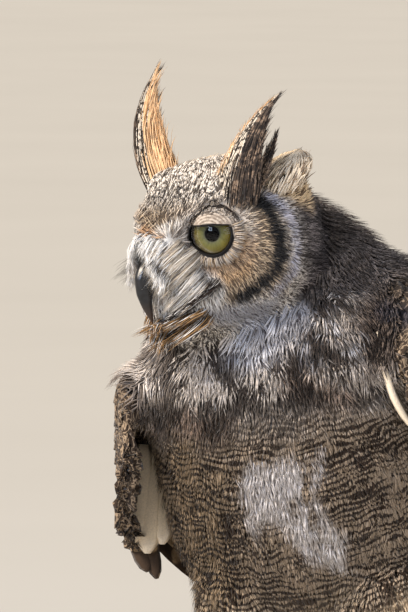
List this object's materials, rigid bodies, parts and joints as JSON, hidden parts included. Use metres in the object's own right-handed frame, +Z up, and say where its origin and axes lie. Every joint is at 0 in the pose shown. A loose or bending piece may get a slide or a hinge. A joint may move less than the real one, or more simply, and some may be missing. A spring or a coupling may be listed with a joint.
{
  "type": "great horned owl model",
  "caption": "Life-size still model of a great horned owl standing on a floor, leaning slightly and looking down past its right side, with raised ear tufts.",
  "frame": {"origin": "on the floor, under the middle of the whole bird's box", "axes": "+Z up, -Y the way the body faces, +X towards the bird's own left"},
  "size_m": [0.2334, 0.2644, 0.4202],
  "materials": {
    "crown": "soft matt feathers of the head, finely speckled grey, buff and black, with a tawny face rimmed in black",
    "breast": "soft matt contour feathers, buff and white, crossed by fine dark bars, with a white bib",
    "mantle": "matt dark brown feathers of the back and wing coverts, flecked grey and buff",
    "quills": "flight and tail feathers, satin, buff-brown with broad dark bars",
    "leggings": "hair-like buff feathers of the legs and toes, faintly barred",
    "horn": "slate-black horn of the bill and claws, satin",
    "eye": "wet clear cornea over a yellow iris and a black pupil"
  },
  "bodies": {
    "root": {"bill_lower": "horn", "bill_upper": "horn", "claw_hallux_left": "horn", "claw_hallux_right": "horn", "claw_inner_left": "horn", "claw_inner_right": "horn", "claw_middle_left": "horn", "claw_middle_right": "horn", "claw_outer_left": "horn", "claw_outer_right": "horn", "ear_tuft_left": "crown", "ear_tuft_right": "crown", "eye_left": "eye", "eye_right": "eye", "foot_left": "leggings", "foot_right": "leggings", "head": "crown", "neck": "mantle", "tail": "quills", "tarsus_left": "leggings", "tarsus_right": "leggings", "thigh_left": "leggings", "thigh_right": "leggings", "toe_hallux_left": "leggings", "toe_hallux_right": "leggings", "toe_inner_left": "leggings", "toe_inner_right": "leggings", "toe_middle_left": "leggings", "toe_middle_right": "leggings", "toe_outer_left": "leggings", "toe_outer_right": "leggings", "trunk": "breast", "wing_coverts_left": "mantle", "wing_coverts_right": "mantle", "wing_primaries_left": "quills", "wing_primaries_right": "quills", "wing_secondaries_left": "quills", "wing_secondaries_right": "quills"}
  },
  "joints": []
}
